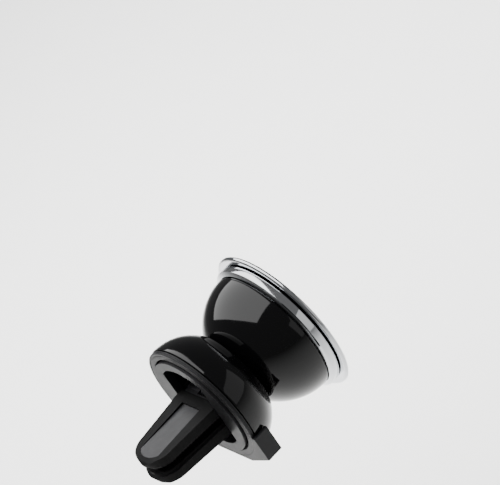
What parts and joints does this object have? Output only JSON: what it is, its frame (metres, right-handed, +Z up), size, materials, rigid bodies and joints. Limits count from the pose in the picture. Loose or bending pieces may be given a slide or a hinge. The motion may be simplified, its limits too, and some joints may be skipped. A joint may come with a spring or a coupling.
{
  "type": "magnetic car phone mount",
  "caption": "Magnetic phone holder on a ball joint, with a sprung two-jaw clip for an air-vent louver and a round steel plate for the phone's back.",
  "frame": {"origin": "centre of the louver slot between the jaws, in the plane of the rim's rear face", "axes": "+Z up, +Y into the vent, -Y towards the driver and the phone"},
  "size_m": [0.0422, 0.0513, 0.0422],
  "materials": {
    "gloss_black": "gloss",
    "satin_grey": "satin",
    "satin_black": "satin",
    "rubber": "matte",
    "steel": "turned",
    "magnet": "nickel plated",
    "nylon": "moulded",
    "chrome": "polished",
    "adhesive": "liner"
  },
  "bodies": {
    "clip_base": {"base_dome": "gloss_black", "foot_ring": "satin_grey", "rear_plate": "satin_grey", "jaw_carrier": "satin_black", "lower_jaw": "satin_grey", "lower_jaw_sleeve": "rubber", "jaw_screw_1": "steel", "jaw_screw_2": "steel", "hinge_pin": "steel", "jaw_spring": "steel", "ball_stud": "steel", "stud_nut": "steel"},
    "sprung_jaw": {"upper_jaw": "satin_grey", "upper_jaw_sleeve": "rubber"},
    "pan_liner": {"ball_liner": "nylon"},
    "tilt_socket": {"socket_cup": "satin_black"},
    "head": {"head_dome": "gloss_black", "socket_retainer": "satin_black", "retainer_screw_1": "steel", "retainer_screw_2": "steel", "retainer_screw_3": "steel", "steel_yoke": "steel", "magnet_tray": "satin_black", "magnet_1": "magnet", "magnet_2": "magnet", "magnet_3": "magnet", "magnet_4": "magnet", "tray_screw_1": "steel", "tray_screw_2": "steel", "tray_screw_3": "steel", "chrome_ring": "chrome", "face_pad": "rubber"},
    "plate": {"phone_plate": "chrome", "plate_adhesive": "adhesive"}
  },
  "joints": [
    {"name": "jaw_open", "type": "hinge", "parent": "clip_base", "child": "sprung_jaw", "pos_m": [0, -0.0032, 0.00275], "axis": [1, 0, 0], "range_deg": [0, 15], "stiffness_Nm_per_rad": 0.06, "springref_deg": -28.65, "deforming": ["jaw_spring"]},
    {"name": "head_pan", "type": "hinge", "parent": "clip_base", "child": "pan_liner", "pos_m": [0, -0.018, 0.0023], "axis": [0, 0, 1], "range_deg": [-11, 11]},
    {"name": "head_tilt", "type": "hinge", "parent": "pan_liner", "child": "tilt_socket", "pos_m": [0, -0.018, 0.0023], "axis": [1, 0, 0], "range_deg": [-11, 11]},
    {"name": "head_roll", "type": "hinge", "parent": "tilt_socket", "child": "head", "pos_m": [0, -0.018, 0.0023], "axis": [0, 1, 0], "continuous": true},
    {"name": "plate_pull", "type": "slide", "parent": "head", "child": "plate", "axis": [0, -1, 0], "range_m": [0, 0.02]}
  ]
}
